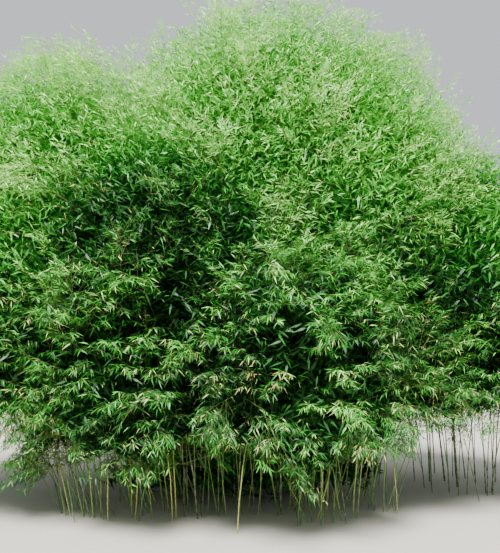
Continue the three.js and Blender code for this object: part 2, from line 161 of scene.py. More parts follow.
@dataclass(frozen=True)
class Crown:
    """The leafy outline of the clump, which is the union of its lobes."""

    lobes: tuple[Lobe, ...] = (
        Lobe((0.15, 0.35, 1.7), (3.3, 2.2, 4.9), 0.9),
        Lobe((-2.55, 0.15, 1.7), (2.1, 2.0, 4.0), 0.95),
        Lobe((-1.25, -0.75, 1.4), (1.5, 1.45, 3.3), 0.5),
        Lobe((0.2, -0.95, 1.35), (1.35, 1.45, 1.8), 0.5),
        Lobe((2.45, 0.25, 1.6), (1.5, 1.75, 3.0), 1.0),
        Lobe((-0.4, 1.05, 1.3), (2.2, 1.5, 2.2), 0.45),
    )

    # The crown's depths and the open room under it
    narrowing_below: float = 0.35
    shell_depth: float = 0.42
    underside_and_glint_rise: float = 4.2
    rim_share: float = 0.3
    leafy_rim_share: float = 0.62

    # The uneven lower edge of the foliage
    hem_below: float = 1.5
    hem_wave: float = 0.11
    long_wave: Triple = (4.3, 3.1, 3.0)
    short_wave: Triple = (0.7, 9.7, 2.3)
    sag: Ramp = Ramp((-2.6, -2.0, 1.4, 2.0), (0.22, 0.0, 0.0, 0.17))

    # How the shell is shared out
    samples: int = 2400
    drawn_at_once: int = 400
    rounds: int = 14

    def top(self) -> float:
        """Gives the height of the crown's top."""
        return max(lobe.at[2] + lobe.size[2] for lobe in self.lobes)

    def depth(self, points: Array, rise: float | None = None) -> Array:
        """Says how deep points lie in the crown.

        In a lobe that is 1 less the distance from its middle, measured in its half-sizes, with heights below
        the widest section counted less. It is at most the height above the lobe's skirt, divided by the
        underside's rise. The deepest lobe counts.

        Args:
            points: the places, with X, Y and Z along the last axis.
            rise: the underside's rise, where it isn't the crown's own.

        Returns:
            0 on the skin, 1 at the middle of a lobe, and negative outside.
        """
        depths = []
        for lobe in self.lobes:
            away = (points - np.array(lobe.at)) / np.array(lobe.size)
            away[..., 2] *= np.where(away[..., 2] > 0, 1.0, self.narrowing_below)
            inside = 1 - np.linalg.norm(away, axis=-1)
            depths.append(np.minimum(inside, (points[..., 2] - lobe.skirt) / (rise or self.underside_and_glint_rise)))
        return np.max(depths, axis=0)

    def is_underneath(self, points: Array, rim_share: float) -> Mask:
        """Says whether points lie in the open room under the foliage, which rises towards the middle.

        A point does where its height is less than the rise times how far it lies in plan inside the rim.
        """
        plan = [
            1 - np.linalg.norm((points[..., :2] - np.array(lobe.at[:2])) / np.array(lobe.size[:2]), axis=-1)
            for lobe in self.lobes
        ]
        return points[..., 2] < self.underside_and_glint_rise * (np.max(plan, axis=0) - rim_share)

    def lowered(self, points: Array) -> Array:
        """Lowers points near the foliage's lower edge by two waves, which make that edge uneven.

        The long wave is the sine of X times its pitch, plus its start and the sine of Y times its sway. The
        short one is its size times the sine of X and Y times their pitches. Towards the left and right ends
        the points are raised, so that the edge sags there.

        Args:
            points: the places.

        Returns:
            The places, moved up or down.
        """
        x, y, z = points[..., 0], points[..., 1], points[..., 2]
        pitch, start, sway = self.long_wave
        size, pitch_x, pitch_y = self.short_wave
        wave = np.sin(pitch * x + start + np.sin(sway * y)) + size * np.sin(pitch_x * x + pitch_y * y)
        shift = self.sag.of(x) - self.hem_wave * (wave + 1.0)
        return np.stack([x, y, z + shift * (z < self.hem_below)], axis=-1)

    def is_leafy(self, points: Array, edge: Array | float) -> Mask:
        """Says whether points lie in the crown, deeper than an edge, and not in the open room under it."""
        return (self.depth(self.lowered(points)) > edge) & ~self.is_underneath(points, self.leafy_rim_share)

    def sample_shell(self, stream: NumberStream) -> Array:
        """Spreads points evenly through the leafy shell: draws in its box, and keeps those in the shell.

        Args:
            stream: the source of the draws.

        Returns:
            The places.
        """
        at = np.array([lobe.at for lobe in self.lobes])
        size = np.array([lobe.size for lobe in self.lobes])
        low = (at - size).min(axis=0)
        high = (at + size).max(axis=0)
        low[2] = 0.0
        samples: list[Array] = []
        while len(samples) < self.samples:
            drawn = np.array([[stream.draw() for _ in range(3)] for _ in range(self.drawn_at_once)])
            places = blend(low, high, drawn)
            depths = self.depth(places)
            kept = (depths > 0) & (depths < self.shell_depth) & ~self.is_underneath(places, self.rim_share)
            samples.extend(places[kept])
        return np.array(samples[: self.samples])

    def share_out(self, count: int, seed: int) -> Array:
        """Divides the leafy shell into even shares.

        In each round, every sample goes to the nearest middle and each middle to the centre of its samples.

        Args:
            count: how many shares.
            seed: the seed of the samples.

        Returns:
            The middles of the shares, highest first.
        """
        samples = self.sample_shell(NumberStream(seed))
        middles = samples[:count].copy()
        for _ in range(self.rounds):
            nearest = np.linalg.norm(samples[:, None] - middles[None], axis=2).argmin(axis=1)
            held = np.bincount(nearest, minlength=count)[:, None]
            sums = np.stack([np.bincount(nearest, samples[:, k], count) for k in range(3)], axis=1)
            middles = np.where(held > 0, sums / np.maximum(held, 1), middles)
        return middles[np.argsort(-middles[:, 2], kind="stable")]


@dataclass(frozen=True)
class Stand:
    """A patch of ground that canes stand in.

    It feeds the plumes that aren't further right than it reaches. Slim canes, leafy low down, stand along its
    edge between two turns, in radians.
    """

    at: Pair
    size: Pair
    reaches_to: float
    edge_canes: int
    edge_from: float
    edge_to: float


@dataclass(frozen=True)
class Bunch:
    """A bunch of slim canes, leafy low down, that leans out of the clump one way, so far and so high."""

    at: Pair
    out: Pair
    canes: int
    reach: Pair = EDGE_REACH
    rise: Pair = EDGE_RISE


@dataclass(frozen=True)
class Cane:
    """One cane, as a cubic curve from its foot to the tip of its plume."""

    knots: Array
    scale: float
    plume_length: float
    plume_share: float

    STEPS = 200  # straight steps that its length is summed up over

    def bare_points(self, share: Array) -> Array:
        """Points at shares of the curve's own parameter: the four knots weighed by the cubic's terms."""
        t = share[:, None]
        a, b, c, d = self.knots
        return a * (1 - t) ** 3 + 3 * b * t * (1 - t) ** 2 + 3 * c * t**2 * (1 - t) + d * t**3

    def lengths(self) -> tuple[Array, Array]:
        """Gives even shares of the parameter and the length of the cane up to each."""
        share = np.linspace(0, 1, self.STEPS + 1)
        steps = np.linalg.norm(np.diff(self.bare_points(share), axis=0), axis=1)
        return share, np.concatenate([[0.0], np.cumsum(steps)])

    def length(self) -> float:
        """Gives the length of the whole cane."""
        return float(self.lengths()[1][-1])

    def plume_start(self) -> float:
        """Gives the share of the cane's length where its plume begins."""
        return 1 - min(self.plume_length / self.length(), self.plume_share)

    def points(self, along: Array) -> Array:
        """Points at shares of the cane's length."""
        share, lengths = self.lengths()
        return self.bare_points(np.interp(along * lengths[-1], lengths, share))

    def ways(self, along: Array) -> Array:
        """Directions of the cane at shares of its length, from the points a little before and after."""
        step = 1e-3
        return unit(self.points(np.minimum(along + step, 1)) - self.points(np.maximum(along - step, 0)))


def distance_between(points: Array, starts: Array, ends: Array) -> float:
    """Gives the least distance from any point to any straight stretch between two ends.

    Args:
        points: the points.
        starts: where the stretches start.
        ends: where they end.

    Returns:
        The distance, which is endless where there are no stretches.
    """
    if not len(starts):
        return math.inf
    run = ends - starts
    share = ((points[:, None] - starts) * run).sum(axis=2) / np.maximum((run**2).sum(axis=1), 1e-12)
    nearest = starts + run * np.clip(share, 0, 1)[..., None]
    return float(np.linalg.norm(points[:, None] - nearest, axis=2).min())


@dataclass
class CaneLayout:
    """Lays out the canes of the clump: the main ones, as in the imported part, and slimmer ones between them.

    The slimmest are leafy low down and lean out of the clump at its edge: in a row along the front, round
    each stand, and in a few bunches.
    """

    crown: Crown
    stands: tuple[Stand, ...] = (
        Stand((-0.15, -0.05), (1.6, 1.4), 1.9, 30, -0.35, 3.6),
        Stand((2.5, 0.35), (0.75, 0.85), math.inf, 14, -2.6, 2.2),
    )
    bunches: tuple[Bunch, ...] = (
        Bunch((-1.9, -0.95), (-2.0, -0.3), 16),
        Bunch((0.45, -1.1), (0.3, -2.0), 14),
        Bunch((-1.95, -0.75), (-2.0, -0.5), 14, (0.5, 1.1), (0.9, 1.6)),
    )

    # Main and slim canes
    seed: int = 3
    main_canes: int = 30
    slim_canes: int = 140
    slim_seed: int = 7
    slim_scale: float = 0.68

    # Feet, as shares of their patch, and how far they stray and keep apart in metres
    foot_outermost: float = 1.12
    foot_innermost: float = 0.05
    foot_draw_in: float = 1.09
    foot_jitter: float = 0.19
    slim_foot_jitter: float = 0.3
    jitter_growth: float = 0.1
    tries: int = 60
    spacing: float = 0.075
    slim_spacing: float = 0.04
    line_points: int = 25

    # The curve of a cane and the tip of its plume
    lean: float = 0.11
    bend: float = 0.48
    arch: float = 0.98
    rim_arch: float = 0.8
    rim_height: float = 3.3
    plume_length: float = 2.1
    plume_share: float = 0.62
    tip_reach: float = 0.8
    tip_outward: float = 1.9
    tip_depth: float = 0.05
    tip_step: float = 0.1
    most_steps: int = 40
    level_height: float = 2.6
    steepest_down: float = 0.5

    # Canes at the clump's edge: the front row, round the stands, the bunches, and what they share
    row_canes: int = 46
    row_from: Pair = (-1.95, -1.24)
    row_to: Pair = (1.34, -0.82)
    row_fan: Pair = (-0.8, 0.5)
    row_depth: float = 0.3
    row_forward: float = 0.2
    round_stand: Pair = (0.75, 1.0)
    bunch_spread: float = 0.25
    bunch_fan: float = 0.9
    edge_scale: float = 0.58
    edge_plume_share: float = 0.8
    edge_bow: float = 0.2
    edge_knots: Pair = (0.32, 0.68)
    edge_stray: float = 0.03
    edge_sideways: Pair = (-0.15, 0.45)
    edge_goal: float = 1.6
    edge_step: float = 0.15
    edge_tries: int = 20

    # The canes laid out so far, and the straight stretches that they are measured by
    canes: list[Cane] = field(default_factory=list)
    starts: Array = field(default_factory=lambda: np.zeros((0, 3)))
    ends: Array = field(default_factory=lambda: np.zeros((0, 3)))

    def foot_of(self, middle: Array, stand: Stand) -> Array:
        """Gives a foot's even place: the lower its plume, the further out it stands in its patch.

        Args:
            middle: the middle of the plume's share of the crown.
            stand: the patch.

        Returns:
            The place.
        """
        across, along = middle[:2] - np.array(stand.at)
        turn = math.atan2(along, across)
        out = self.foot_outermost - self.foot_draw_in * middle[2] / self.crown.top()
        out = min(max(out, self.foot_innermost), 1.0)
        x = stand.at[0] + stand.size[0] * out * math.cos(turn)
        y = stand.at[1] + stand.size[1] * out * math.sin(turn)
        return np.array([x, y, 0.0])

    def tip_of(self, middle: Array, stand: Stand) -> Array:
        """Gives a plume's tip: outwards from its middle, and up or down with its height in the crown.

        Args:
            middle: the middle of the plume's share of the crown.
            stand: the patch that its cane stands in.

        Returns:
            The tip's place.
        """
        reach = np.array([*((middle[:2] - np.array(stand.at)) / self.tip_outward), 0.0])
        reach /= max(1.0, float(np.linalg.norm(reach)))
        reach[2] = min(max(middle[2] / self.level_height - 1, -self.steepest_down), 1.0)
        return self.drawn_in(middle + unit(reach) * self.tip_reach, middle, self.tip_step)

    def drawn_in(self, tip: Array, goal: Array, step: float) -> Array:
        """Moves a tip towards a goal until it lies inside the crown.

        Args:
            tip: where it starts.
            goal: where it would end.
            step: the share of the way left that it moves by at a time.

        Returns:
            The tip's place.
        """
        for _ in range(self.most_steps):
            if self.crown.depth(tip) >= self.tip_depth:
                break
            tip = blend(tip, goal, step)
        return tip

    def cane_to(self, foot: Array, tip: Array, scale: float) -> Cane:
        """Makes a cane that leans out from its foot and arches over to its tip.

        Args:
            foot: its place on the ground.
            tip: the end of its plume.
            scale: how thick it is against the main ones.

        Returns:
            The cane.
        """
        arch_height = tip[2] * self.arch + self.rim_arch * max(0.0, 1 - tip[2] / self.rim_height)
        low = blend(foot, tip, self.lean)
        high = blend(foot, tip, self.bend)
        low[2] = arch_height / 2
        high[2] = arch_height
        return Cane(np.array([foot, low, high, tip]), scale, self.plume_length, self.plume_share)

    def leaning_cane(self, foot: Array, tip: Array) -> Cane:
        """Makes a slim cane that is leafy low down and leans almost straight from its foot to its tip."""
        bow = UP * np.linalg.norm(tip[:2] - foot[:2]) * self.edge_bow
        low, high = (blend(foot, tip, share) + bow for share in self.edge_knots)
        return Cane(np.array([foot, low, high, tip]), self.edge_scale, math.inf, self.edge_plume_share)

    def add_if_clear(self, cane: Cane, spacing: float) -> bool:
        """Adds a cane if it is clear of all the others.

        Args:
            cane: the cane.
            spacing: the least distance between two canes.

        Returns:
            Whether it was added.
        """
        line = cane.bare_points(np.linspace(0, 1, self.line_points))
        is_clear = distance_between(line, self.starts, self.ends) >= spacing
        if is_clear:
            self.canes.append(cane)
            self.starts = np.concatenate([self.starts, line[:-1]])
            self.ends = np.concatenate([self.ends, line[1:]])
        return is_clear

    def add_canes(self, middles: Array, seed: int, jitter: float, spacing: float, scale: float) -> None:
        """Adds a cane for each share of the crown, each foot straying until its cane is clear of the others.

        Args:
            middles: the middles of the shares, highest first.
            seed: the seed of the strays.
            jitter: how far a foot may stray at first.
            spacing: the least distance between two canes.
            scale: how thick the canes are against the main ones.
        """
        stream = NumberStream(seed)
        for middle in middles:
            stand = next(s for s in self.stands if middle[0] < s.reaches_to)
            is_first = not self.canes
            even = np.zeros(3) if is_first else self.foot_of(middle, stand)
            tip = self.tip_of(middle, stand)
            for tried in range(self.tries):
                stray = 0.0 if is_first else jitter * (1 + tried * self.jitter_growth)
                foot = even + np.array([stream.draw() * 2 - 1, stream.draw() * 2 - 1, 0.0]) * stray
                if self.add_if_clear(self.cane_to(foot, tip, scale), spacing):
                    break

    def add_edge(
        self,
        feet: Array,
        out: Array,
        rng: np.random.Generator,
        reach: Pair = EDGE_REACH,
        rise: Pair = EDGE_RISE,
    ) -> None:
        """Adds slim canes that are leafy low down, along an edge of the clump.

        Each leans outwards and a little its own way, into the foliage above it.

        Args:
            feet: their places on the ground.
            out: the outward direction at each.
            rng: the source of the strays.
            reach: the least and most that they lean outwards.
            rise: the least and most height of their tips.
        """
        for (x, y), away in zip(feet, unit(out)):
            across = np.array([-away[1], away[0]])
            for _ in range(self.edge_tries):
                foot = np.array([x, y, 0.0]) + np.array([*rng.normal(0, self.edge_stray, 2), 0.0])
                lean = away * rng.uniform(*reach) + across * rng.normal(*self.edge_sideways)
                tip = foot + np.array([*lean, rng.uniform(*rise)])
                tip = self.drawn_in(tip, foot + UP * self.edge_goal, self.edge_step)
                if self.add_if_clear(self.leaning_cane(foot, tip), self.slim_spacing):
                    break

    def add_row(self, rng: np.random.Generator) -> None:
        """Adds the row along the front, which fans out from its left end to its right.

        Args:
            rng: the source of the strays.
        """
        count = self.row_canes
        along = (np.arange(count) + rng.uniform(0, 1, count)) / count
        feet = blend(self.row_from, self.row_to, along[:, None])
        feet[:, 1] += rng.uniform(-self.row_forward, 1.0, count) * self.row_depth
        self.add_edge(feet, np.stack([blend(*self.row_fan, along), np.full(count, -1.0)], axis=1), rng)

    def lay_out(self) -> list[Cane]:
        """Lays out the main canes, the slim ones between them, and then those at the clump's edge.

        Returns:
            All the canes, the main ones first.
        """
        main = self.crown.share_out(self.main_canes, self.seed)
        self.add_canes(main, self.seed + 1, self.foot_jitter, self.spacing, 1.0)
        slim = self.crown.share_out(self.slim_canes, self.slim_seed)
        self.add_canes(slim, self.slim_seed + 1, self.slim_foot_jitter, self.slim_spacing, self.slim_scale)
        rng = np.random.default_rng(self.slim_seed)
        self.add_row(rng)
        for stand in self.stands:
            turn = np.linspace(stand.edge_from, stand.edge_to, stand.edge_canes)
            out = np.stack([np.cos(turn), np.sin(turn)], axis=1)
            reach = rng.uniform(*self.round_stand, (stand.edge_canes, 1))
            self.add_edge(np.array(stand.at) + np.array(stand.size) * out * reach, out, rng)
        for bunch in self.bunches:
            spread, fan = self.bunch_spread, self.bunch_fan
            feet = np.array(bunch.at) + rng.uniform(-spread, spread, (bunch.canes, 2))
            out = np.array(bunch.out) + rng.uniform(-fan, fan, (bunch.canes, 2))
            self.add_edge(feet, out, rng, bunch.reach, bunch.rise)
        return self.canes


def add_node(
    tree: bpy.types.NodeTree,
    kind: str,
    settings: dict[str | int, object] | None = None,
    links: dict[str | int, bpy.types.NodeSocket] | None = None,
) -> bpy.types.Node:
    """Adds a node to a material.

    Args:
        tree: the material's nodes.
        kind: the node's type.
        settings: values for its properties, or for its inputs by name or number.
        links: the sockets that feed its inputs, by name or number.

    Returns:
        The node.
    """
    node = tree.nodes.new(kind)
    for name, value in (settings or {}).items():
        if isinstance(name, int) or name in node.inputs:
            node.inputs[name].default_value = value
        else:
            setattr(node, name, value)
    for name, socket in (links or {}).items():
        tree.links.new(socket, node.inputs[name])
    return node


def new_material(name: str) -> tuple[bpy.types.Material, bpy.types.Node]:
    """Makes an empty material.

    Args:
        name: its name.

    Returns:
        The material and its Principled shader.
    """
    material = bpy.data.materials.new(name)
    material.use_nodes = True
    return material, material.node_tree.nodes["Principled BSDF"]


class LeafTone(Enum):
    """The leaf colours, lit and shaded copies of one green: from painted shade deep inside the clump to
    painted light at the top of the crown, then undersides that are partly painted glints, and dry leaves.
    """

    SHADED = 0
    DEEP = 1
    FULL = 2
    PALE_LIT = 3
    BRIGHT = 4
    PALEST_LIT = 5
    UNDERSIDE_AND_GLINT = 6
    DRY = 7


@dataclass(frozen=True)
class LeafFinish:
    """A living bamboo leaf: thin, leathery and waxy, so that it takes a broad, pale glint of the sky."""

    tone: LeafTone
    colour: int
    roughness: float
    specular: float = 0.5

    def material(self) -> bpy.types.Material:
        """Makes the leaf's plain material, which gets its variety from the other tones beside it.

        Returns:
            The material.
        """
        material, shader = new_material(f"leaf_{self.tone.name.lower()}")
        shader.inputs["Base Color"].default_value = linear(self.colour)
        shader.inputs["Roughness"].default_value = self.roughness
        shader.inputs["Specular IOR Level"].default_value = self.specular
        return material


# The colours from SHADED up to the palest are painted shade and painted light on one green leaf.
LEAF_FINISHES = (
    LeafFinish(LeafTone.SHADED, 0x0A2408, 0.7, 0.05),
    LeafFinish(LeafTone.DEEP, 0x1C5A18, 0.46),
    LeafFinish(LeafTone.FULL, 0x2F8424, 0.42),
    LeafFinish(LeafTone.PALE_LIT, 0x5CB840, 0.4),
    LeafFinish(LeafTone.BRIGHT, 0xA2EC72, 0.4),
    LeafFinish(LeafTone.PALEST_LIT, 0xCAFC98, 0.42),
    # Pale leaves: partly the paler undersides, partly painted glints of the sky.
    LeafFinish(LeafTone.UNDERSIDE_AND_GLINT, 0xBED47C, 0.5),
    LeafFinish(LeafTone.DRY, 0xC6BC76, 0.7),
)


class CaneTone(Enum):
    """The ages of the canes, by the colour of their skin; the darkest, old skin also serves as painted shade
    on the right stand.
    """

    OLIVE = 0
    GREEN = 1
    YELLOW = 2
    OLD_AND_SHADED = 3


@dataclass(frozen=True)
class CaneFinish:
    """The hard, smooth skin of a bamboo cane: faint streaks, wax below each joint, and a dark leaf scar."""

    tone: CaneTone
    skin: int
    streak: int
    wax: int = 0xC3CBA4
    scar: int = 0x55502C
    streak_width: float = 0.004
    width_of_length: float = 0.03
    roughness: Pair = (0.3, 0.5)
    grain: float = 0.0004

    def material(self) -> bpy.types.Material:
        """Makes the skin: streaks on Object coordinates, wax and scar from the mesh's own attributes.

        Returns:
            The material.
        """
        material, shader = new_material(f"cane_skin_{self.tone.name.lower()}")
        tree = material.node_tree
        place = add_node(tree, "ShaderNodeTexCoord").outputs["Object"]
        across = 1 / self.streak_width
        scale = {"Scale": (across, across, across * self.width_of_length)}
        stretched = add_node(tree, "ShaderNodeMapping", scale, {"Vector": place}).outputs["Vector"]
        noise = {"Scale": 1.0, "Detail": 3.0}
        streaks = add_node(tree, "ShaderNodeTexNoise", noise, {"Vector": stretched}).outputs["Fac"]
        colours = {"data_type": "RGBA", 6: linear(self.skin), 7: linear(self.streak)}
        colour = add_node(tree, "ShaderNodeMix", colours, {0: streaks}).outputs[2]
        for name, cover in (("wax", self.wax), ("scar", self.scar)):
            share = add_node(tree, "ShaderNodeAttribute", {"attribute_name": name}).outputs["Fac"]
            colours = {"data_type": "RGBA", 7: linear(cover)}
            colour = add_node(tree, "ShaderNodeMix", colours, {0: share, 6: colour}).outputs[2]
        gloss = {"To Min": self.roughness[0], "To Max": self.roughness[1]}
        sheen = add_node(tree, "ShaderNodeMapRange", gloss, {"Value": streaks}).outputs["Result"]
        relief = {"Strength": 0.3, "Distance": self.grain}
        grain = add_node(tree, "ShaderNodeBump", relief, {"Height": streaks}).outputs["Normal"]
        for name, socket in (("Base Color", colour), ("Roughness", sheen), ("Normal", grain)):
            tree.links.new(socket, shader.inputs[name])
        return material


CANE_FINISHES = (
    CaneFinish(CaneTone.OLIVE, 0x86AA42, 0x6C8C34),
    CaneFinish(CaneTone.GREEN, 0x4E8C32, 0x3A6C24),
    CaneFinish(CaneTone.YELLOW, 0xD0D868, 0xB2BC4C),
    CaneFinish(CaneTone.OLD_AND_SHADED, 0x4C5C28, 0x38451E),
)


@dataclass(frozen=True)
class TwigFinish:
    """The skin of green twigs: satin, browner where it is old, in patches a few centimetres long."""

    palest_lit: int = 0x7E9A44
    old_and_shaded: int = 0x586A30
    patch: float = 1 / 18
    roughness: float = 0.5

    def material(self) -> bpy.types.Material:
        """Makes the skin, which goes between its two colours by a noise on Object coordinates.

        Returns:
            The material.
        """
        material, shader = new_material("twig_skin")
        tree = material.node_tree
        place = add_node(tree, "ShaderNodeTexCoord").outputs["Object"]
        noise = {"Scale": 1 / self.patch, "Detail": 2.0}
        patches = add_node(tree, "ShaderNodeTexNoise", noise, {"Vector": place}).outputs["Fac"]
        colours = {"data_type": "RGBA", 6: linear(self.palest_lit), 7: linear(self.old_and_shaded)}
        skin = add_node(tree, "ShaderNodeMix", colours, {0: patches}).outputs[2]
        tree.links.new(skin, shader.inputs["Base Color"])
        shader.inputs["Roughness"].default_value = self.roughness
        return material


def add_object(name: str, data: bpy.types.ID) -> bpy.types.Object:
    """Puts a new object with its data into the scene.

    Args:
        name: its name.
        data: its mesh, light or camera.

    Returns:
        The object.
    """
    item = bpy.data.objects.new(name, data)
    bpy.context.scene.collection.objects.link(item)
    return item


def new_piece(
    name: str,
    surface: Surface,
    material: bpy.types.Material,
    values: dict[str, Array] | None = None,
) -> bpy.types.Object:
    """Makes a smooth-shaded mesh piece that belongs to the clump.

    Args:
        name: the piece's name.
        surface: its vertices and triangles.
        material: its material.
        values: values for each vertex that the material reads, by name.

    Returns:
        The piece.
    """
    vertices, triangles = surface
    mesh = bpy.data.meshes.new(name)
    mesh.vertices.add(len(vertices))
    mesh.vertices.foreach_set("co", vertices.astype(np.float32).ravel())
    mesh.loops.add(triangles.size)
    mesh.loops.foreach_set("vertex_index", triangles.astype(np.int32).ravel())
    mesh.polygons.add(len(triangles))
    mesh.polygons.foreach_set("loop_start", np.arange(0, triangles.size, 3, dtype=np.int32))
    mesh.polygons.foreach_set("use_smooth", np.ones(len(triangles), dtype=bool))
    mesh.update(calc_edges=True)
    for key, numbers in (values or {}).items():
        mesh.attributes.new(key, "FLOAT", "POINT").data.foreach_set("value", numbers.astype(np.float32))
    mesh.materials.append(material)
    piece = add_object(name, mesh)
    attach(piece, "root")
    LOG.info("%s: %d triangles", name, len(triangles))
    return piece


def wall_faces(rings: int, sides: int) -> Indices:
    """Gives the triangles between rings of vertices that follow each other.

    Args:
        rings: how many rings.
        sides: how many vertices are on each.

    Returns:
        The three vertices of each face, facing outwards.
    """
    ring, side = np.meshgrid(np.arange(rings - 1), np.arange(sides), indexing="ij")
    here = ring * sides + side
    beside = ring * sides + (side + 1) % sides
    walls = np.stack([here, beside, beside + sides, here, beside + sides, here + sides], axis=-1)
    return walls.reshape(-1, 3)


def tube_faces(rings: int, sides: int) -> Indices:
    """Gives the triangles of a closed tube whose first and last vertices are the middles of its ends.

    Args:
        rings: how many rings lie between those two.
        sides: how many vertices are on each ring.

    Returns:
        The three vertices of each face, facing outwards.
    """
    around = 1 + np.arange(sides)
    beside = 1 + around % sides
    last = (rings - 1) * sides
    start = np.stack([np.zeros(sides, dtype=int), beside, around], axis=1)
    end = np.stack([np.full(sides, rings * sides + 1), around + last, beside + last], axis=1)
    return np.concatenate([1 + wall_faces(rings, sides), start, end])


def repeated(faces: Indices, copies: int, vertices: int) -> Indices:
    """Gives the faces of a number of alike meshes that follow each other, each with so many vertices."""
    return ((np.arange(copies) * vertices)[:, None, None] + faces).reshape(-1, 3)


def tube_vertices(centres: Array, ways: Array, radii: Array, sides: int, level_start: bool = False) -> Array:
    """Carries a ring along a path.

    A ring's point lies at its centre plus its radius times (cos of the turn along a first direction across
    the path, plus sin of the turn along a second).

    Args:
        centres: the rings' centres.
        ways: the path's direction at each.
        radii: the rings' radii.
        sides: how many points are on each ring.
        level_start: whether the first ring lies level on the ground.

    Returns:
        The middle of the start, the rings' points, and the middle of the end.
    """
    first, second = square_to(ways)
    turn = np.linspace(0, 2 * math.pi, sides, endpoint=False)
    points = centres[:, None] + turned(first[:, None], second[:, None], turn) * radii[:, None, None]
    if level_start:
        points[0, :, :] -= ways[0] * (points[0, :, 2:] / ways[0, 2])
        points[0, :, 2] = 0.0
    return np.concatenate([centres[:1], points.reshape(-1, 3), centres[-1:]])


@dataclass
class CanePieces:
    """The canes below their plumes, with their joints."""

    canes: list[Cane]
    radius: float = 0.0135
    top_radius: float = 0.008
    full_length: float = 6.5
    stoutest: float = 1.1
    sides: int = 8
    lowest_joint: float = 0.03
    bare_top: float = 0.05
    lowest_internode: float = 0.075
    internode_growth: float = 1.16
    internode: float = 0.21
    into_plume: float = 0.02
    foot_swelling: float = 1.16
    faintest_wax: float = 0.2
    crook: float = 0.004
    front_tones: tuple[float, ...] = (0.36, 0.38, 0.12, 0.14)
    # Canes on the right stand mostly take the darkest skin, as painted shade
    shaded_right_tones: tuple[float, ...] = (0.1, 0.3, 0.0, 0.6)
    right_from: float = 1.6
    seed: int = 41

    # The rings of one joint: their height from it in metres, the cane's swelling there, and its wax and scar.
    RING_HEIGHTS = np.array([-0.010, -0.001, 0.003, 0.009, 0.022])
    RING_SWELLINGS = (1.0, 1.13, 1.03, 1.14, 1.0)
    RING_WAX = (0.5, 0.3, 0.0, 0.0, 0.0)
    RING_SCAR = (0.0, 0.6, 0.5, 0.0, 0.0)

    def joints(self, length: float) -> Array:
        """Gives the heights of a cane's joints: close together at the ground and wider apart further up.

        Args:
            length: the cane's length below its plume.

        Returns:
            The heights.
        """
        heights = []
        at, step = self.lowest_joint, self.lowest_internode
        while at < length - self.bare_top:
            heights.append(at)
            at += step
            step = min(step * self.internode_growth, self.internode)
        return np.array(heights)

    def cane_mesh(self, cane: Cane, rng: np.random.Generator) -> tuple[Array, Indices, Array, Array]:
        """Carries the cane's profile along its line.

        The radius tapers from the ground to the plume, and swells at each joint by the ring table. Between
        joints the cane is straight, and it bends a little at each.

        Args:
            cane: the cane.
            rng: the source of the crooks.

        Returns:
            Vertices, triangles, and the wax and scar at each vertex.
        """
        total = cane.length()
        length = total * cane.plume_start()
        joints = self.joints(length)
        rings = (joints[:, None] + self.RING_HEIGHTS).ravel()
        heights = np.concatenate([[0.0], rings, [length + self.into_plume]])
        swelling, wax, scar = (
            np.concatenate([[foot], np.tile(ring, len(joints)), [top]])
            for foot, ring, top in (
                (self.foot_swelling, self.RING_SWELLINGS, 1.0),
                (0.0, self.RING_WAX, 0.0),
                (0.0, self.RING_SCAR, 0.0),
            )
        )
        wax *= rng.uniform(self.faintest_wax, 1.0)
        centres = cane.points(heights / total)
        crooks = rng.uniform(-self.crook, self.crook, (len(joints), 3))
        crooks *= np.linspace(0, 1, len(joints))[:, None]
        for k in range(2):
            centres[:, k] += np.interp(heights, joints, crooks[:, k], left=0.0)
        radius = self.radius * cane.scale * math.sqrt(min(total / self.full_length, self.stoutest))
        radii = blend(radius, self.top_radius * cane.scale, heights / length) * swelling
        vertices = tube_vertices(centres, cane.ways(heights / total), radii, self.sides, level_start=True)
        wax, scar = (np.concatenate([v[:1], np.repeat(v, self.sides), v[-1:]]) for v in (wax, scar))
        return vertices, tube_faces(len(heights), self.sides), wax, scar

    def build(self) -> list[bpy.types.Object]:
        """Builds one piece for each tone of cane.

        Returns:
            The pieces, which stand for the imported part's canes.
        """
        rng = np.random.default_rng(self.seed)
        count = len(self.canes)
        front = rng.choice(len(CANE_FINISHES), count, p=self.front_tones)
        right = rng.choice(len(CANE_FINISHES), count, p=self.shaded_right_tones)
        feet = np.array([cane.knots[0, 0] for cane in self.canes])
        # On the right stand the canes are dealt the darker tones as painted shade
        tones = np.where(feet > self.right_from, right, front)
        meshes = [self.cane_mesh(cane, rng) for cane in self.canes]
        pieces = []
        for finish in CANE_FINISHES:
            chosen = [mesh for mesh, tone in zip(meshes, tones) if tone == finish.tone.value]
            starts = np.cumsum([0] + [len(mesh[0]) for mesh in chosen[:-1]])
            vertices, wax, scar = (np.concatenate([mesh[k] for mesh in chosen]) for k in (0, 2, 3))
            faces = np.concatenate([mesh[1] + start for mesh, start in zip(chosen, starts)])
            values = {"wax": wax, "scar": scar}
            name = f"canes_{finish.tone.name.lower()}"
            pieces.append(new_piece(name, (vertices, faces), finish.material(), values))
        return pieces


